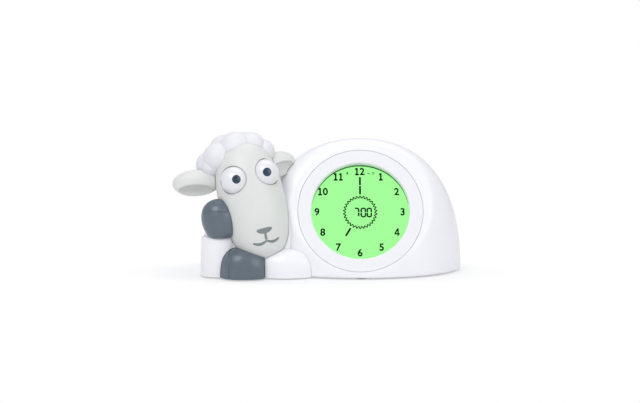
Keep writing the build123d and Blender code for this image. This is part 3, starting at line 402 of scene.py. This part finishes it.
# The hours stand on an oval ring, a little off the dial's middle.
hours_middle = (-0.3, 0.75)
hours_half_width = 35.6
hours_half_height = 34.7
figure_tall = 6.3
figure_pitch = 4.35
typed_size = 8.4
typed_swell = 0.27  # by which the typeface's lines grow on each side
figure_top = figure_tall / 2
figure_foot = -figure_tall / 2
inked_figures = {  # line width, and lines around the figure's middle
    "1": (1.4, [[(0, figure_top), (0, figure_foot)],
                [(-1.45, figure_top - 1.2), (0.1, figure_top - 0.5)],
                [(-1.6, figure_foot + 0.5), (1.6, figure_foot + 0.5)]]),
    "4": (1.15, [[(0.75, figure_top), (0.75, figure_foot)],
                 [(0.45, figure_top - 0.25), (-1.75, figure_foot + 2.0)],
                 [(-2.2, figure_foot + 1.75), (2.1, figure_foot + 1.75)]]),
}


def inked_figure(figure, x, up):
    """A figure of its own lines, where the typeface's isn't like the dial's."""
    width, lines = inked_figures[figure]
    return raised([stroke([(x + a, up + b) for a, b in line], width) for line in lines])


def typed_figure(figure, x, up):
    """A figure from the built-in typeface, thickened; a 6 is a 9 turned over."""
    text = bpy.data.curves.new("figure", "FONT")
    text.body = "9" if figure == "6" else figure
    text.size = typed_size * MM
    text.offset = typed_swell * MM
    text.extrude = ink_thick / 2 * MM
    draft = bpy.data.objects.new("draft", text)
    scene.collection.objects.link(draft)
    bpy.context.view_layer.update()
    mesh = bpy.data.meshes.new_from_object(draft.evaluated_get(bpy.context.evaluated_depsgraph_get()))
    bpy.data.objects.remove(draft)
    xs = [vertex.co.x for vertex in mesh.vertices]
    ys = [vertex.co.y for vertex in mesh.vertices]
    middle = Vector((min(xs) + max(xs), min(ys) + max(ys), 0)) / 2
    turn = Matrix.Rotation(pi if figure == "6" else 0, 4, "Z")
    axes = Matrix((RIGHT, dial_up, dial_out)).transposed().to_4x4()
    spot = on_dial(x, up, ink_depth - ink_thick / 2)
    mesh.transform(Matrix.Translation(spot) @ axes @ turn @ Matrix.Translation(-middle))
    return mesh


def add_hours():
    """The hours from 1 to 12, a piece each."""
    for hour in range(1, 13):
        turn = radians(30 * hour)
        middle = hours_middle[0] + hours_half_width * sin(turn)
        up = hours_middle[1] + hours_half_height * cos(turn)
        figures = str(hour)
        form = bmesh.new()
        for place, figure in enumerate(figures):
            x = middle + (place - (len(figures) - 1) / 2) * figure_pitch
            drawn = inked_figure if figure in inked_figures else typed_figure
            form.from_mesh(drawn(figure, x, up))
        dial_piece("hour_%02d" % hour, mesh_of(form, "hour"))


def add_edge_shade():
    """A painted shade: a dark green crescent on the display's top edge, in place of the shadow under
    the bezel's rim, seen only where the eye looks in under the bezel.
    """
    steps, open_ends = 48, 3
    outer_radius, inner_radius, inner_drop = 41.4, 40.75, 0.9
    outer = arc((0, 0), outer_radius, 0, 180, steps)
    inner = arc((0, -inner_drop), inner_radius, 0, 180, steps)
    spans = [(outer[i], outer[i + 1], inner[i + 1], inner[i])
             for i in range(open_ends, steps - open_ends)]
    dial_piece("lcd_edge", raised(spans, ink_thick / 2), edge_painted_shade)


def add_hands():
    """The hour hand, and the minute hand in two segments with a gap between them."""
    width = 1.65
    hour_turn = radians(211.3)
    hour = [(r * sin(hour_turn), r * cos(hour_turn)) for r in (15.4, 23.2)]
    minute_outer = [(0, 23.7), (0, 30.6)]
    minute_inner = [(0, 15.7), (0, 23.0)]
    lines = (minute_outer, minute_inner, hour)
    dial_piece("lcd_hands", raised([stroke(line, width) for line in lines]))


def add_zigzag():
    """A ring of teeth around the time."""
    teeth = 30
    outer, inner, width = 14.2, 11.9, 0.85
    lift = 0.3  # of the ring's middle above the dial's
    corners = []
    for i in range(2 * teeth + 1):
        turn = pi * i / teeth
        reach = inner if i % 2 else outer
        corners.append((reach * sin(turn), lift + reach * cos(turn)))
    dial_piece("lcd_zigzag", raised([stroke(pair, width) for pair in zip(corners, corners[1:])]))


def add_time():
    """The time in digits of rounded segments, with the first digit of four blank."""
    thick, bend, half_gap = 1.3, 1.2, 0.25
    high, middle, low = 3.7, 0.25, -3.45
    zeros = ((0.95, 4.4), (5.95, 9.25))
    seven_left, seven_right, seven_foot = -4.4, -1.3, low + 0.3
    lines = []
    for left, right in zeros:
        lines.append([(left, middle + half_gap), *arc((left + bend, high - bend), bend, 180, 90),
                      *arc((right - bend, high - bend), bend, 90, 0), (right, middle + half_gap)])
        lines.append([(left, middle - half_gap), *arc((left + bend, low + bend), bend, 180, 270),
                      *arc((right - bend, low + bend), bend, -90, 0), (right, middle - half_gap)])
    lines.append([(seven_left, high), *arc((seven_right - bend, high - bend), bend, 90, 0),
                  (seven_right, middle + half_gap)])
    lines.append([(seven_right, middle - half_gap), (seven_right, seven_foot)])
    dial_piece("lcd_time", raised([stroke(line, thick) for line in lines]))


def add_colon():
    """Two square dots, fainter than the digits."""
    x, dot = -0.1, 0.85
    dots = [stroke([(x, up), (x, up - dot)], dot) for up in (1.95, -0.85)]
    dial_piece("lcd_colon", raised(dots), faint_ink)


def add_marks():
    """The small marks beside the 12: a ring, a dash and a bell."""
    ring = stroke(arc((11.2, 33.9), 0.85, 0, 352, 16), 0.5)
    bell = [(-11.6, 32.9), (-9.4, 32.9), (-9.7, 33.6), (-9.8, 34.6), (-10.5, 35.2), (-11.2, 34.6),
            (-11.3, 33.6)]
    dash = stroke([(6.2, 33.8), (8.4, 33.8)], 0.85)
    dial_piece("lcd_marks", raised([ring, bell, dash]), faint_ink)


# ------------------------------------------------------------ pieces that follow a CAD surface, in mm
far = 60.0  # rays towards a surface start this far out


def surface_of(name):
    """A CAD node's surface, for rays to meet."""
    bpy.context.view_layer.update()
    return BVHTree.FromObject(nodes[name], bpy.context.evaluated_depsgraph_get())


def laid_piece(name, sheets, material):
    """A smooth piece of one or more sheets; a sheet is a list of rows with as many points each."""
    form = bmesh.new()
    for sheet in sheets:
        rows = [[form.verts.new(point) for point in row] for row in sheet]
        for a, b in zip(rows, rows[1:]):
            for k in range(len(a) - 1):
                form.faces.new((a[k], a[k + 1], b[k + 1], b[k]))
    bmesh.ops.recalc_face_normals(form, faces=form.faces)
    mesh = mesh_of(form, name)
    for polygon in mesh.polygons:
        polygon.use_smooth = True
    new_piece(name, mesh, material)


# A lining of rounded section, which softens the cleft in a hoof.
groove_half = 0.72
groove_deep = 0.42
groove_sunk = 0.03  # of the lining's edges under the hoof's surface
cleft_half = 0.6
cleft_bank = 0.9  # from the cleft's middle to where the hoof's surface is looked for
lower_cleft = Vector((-71.5, -25, 1.2))
upper_cleft = Vector((-80, -24.5, 57.6))
upper_cleft_tilt = radians(98)


def soft_groove(name, node, middle, normal, start, end):
    """A lining along an arc about a point, between two angles in degrees, square to the normal."""
    tree = surface_of(node)
    ahead = (AHEAD - AHEAD.dot(normal) * normal).normalized()
    beside = normal.cross(ahead)
    steps, across = 60, 11
    rows = []
    for i in range(steps + 1):
        turn = radians(start + (end - start) * i / steps)
        out = cos(turn) * ahead + sin(turn) * beside
        sources = [(middle + far * out + side * cleft_bank * normal) * MM for side in (-1, 1)]
        banks = [tree.ray_cast(source, -out)[0] for source in sources]
        if None in banks:  # the ray went past the hoof
            continue
        row = []
        for shift in spread(groove_half, across):
            over = banks[0].lerp(banks[1], 0.5 + 0.5 * shift / cleft_bank)
            dip = groove_sunk + groove_deep * cos(pi / 2 * min(1, abs(shift) / cleft_half)) ** 2
            row.append(over - dip * MM * out)
        rows.append(row)
    laid_piece(name, [rows], materials["hoof_grey"])


def add_hoof_grooves():
    soft_groove("lower_hoof_groove", "lower_hoof", lower_cleft, RIGHT, start=-0.5, end=-105)
    slope = Vector((0, cos(upper_cleft_tilt), sin(upper_cleft_tilt)))
    soft_groove("upper_hoof_groove", "upper_hoof", upper_cleft, slope, start=-75, end=40)


# Nose and mouth, printed on the face, in the head's own axes: x to the right and z up.
head_middle = Vector((-54, -12, 62)) * MM
head_roll = radians(12)
head_turn = radians(14)
head_pitch = radians(9)
head_axes = (Matrix.Rotation(-head_roll, 3, "Y") @ Matrix.Rotation(head_turn, 3, "Z")
             @ Matrix.Rotation(-head_pitch, 3, "X"))
print_lift = 0.08
nose_half = 6.4
nose_tall = 4.6
nose_z = -26.5
nose_bow = 0.03
stem_top = -28.5
stem_tall = 5.4
stem_width = 2.0
mouth_half = 5.4  # half the width of one of its two curves
mouth_z = -36.45
mouth_bow = 0.066
mouth_thin = 1.1
mouth_swell = 1.2


def printed(name, strips):
    """Ink laid on the face: each strip is a list of (x, z, width) along its middle line."""
    tree = surface_of("face_shell")
    back = head_axes @ -AHEAD
    across = 7
    sheets = []
    for strip in strips:
        rows = []
        for i, (x, z, width) in enumerate(strip):
            before = Vector(strip[max(0, i - 1)][:2])
            after = Vector(strip[min(len(strip) - 1, i + 1)][:2])
            along = (after - before).normalized()
            side = Vector((-along.y, along.x))
            row = []
            for shift in spread(width / 2, across):
                source = Vector((x + side.x * shift, -far, z + side.y * shift)) * MM
                hit, normal, _, _ = tree.ray_cast(head_middle + head_axes @ source, back)
                row.append(hit + print_lift * MM * normal)
            rows.append(row)
        sheets.append(rows)
    laid_piece(name, sheets, print_grey)


def add_face_print():
    """An oval nose with its ends turned up a little, and a stem over two curves for the mouth."""
    nose_points, stem_points, mouth_points = 25, 10, 13
    nose = []
    for x in spread(nose_half, nose_points):
        fullness = sqrt(max(0.02, 1 - (x / nose_half) ** 2))  # its ends keep a little width
        nose.append((x, nose_z + nose_bow * x * x, nose_tall * fullness))
    stem = [(0, stem_top - stem_tall * i / (stem_points - 1), stem_width) for i in range(stem_points)]
    left = []
    for i, x in enumerate(spread(mouth_half, mouth_points)):
        width = mouth_thin + mouth_swell * sin(pi * (i + 1) / (mouth_points + 1))
        left.append((x - mouth_half, mouth_z + mouth_bow * x * x, width))
    right = [(-x, z, width) for x, z, width in left]
    printed("nose_print", [nose])
    printed("mouth_print", [stem, left, right])


# ------------------------------------------------------------ the scene
add_camera()
set_world()
add_floor()
for lamp in lamps:
    add_lamp(*lamp)
dress_nodes()
add_hours()
add_edge_shade()
add_hands()
add_zigzag()
add_time()
add_colon()
add_marks()
add_face_print()
add_hoof_grooves()

scene.view_settings.view_transform = "Standard"
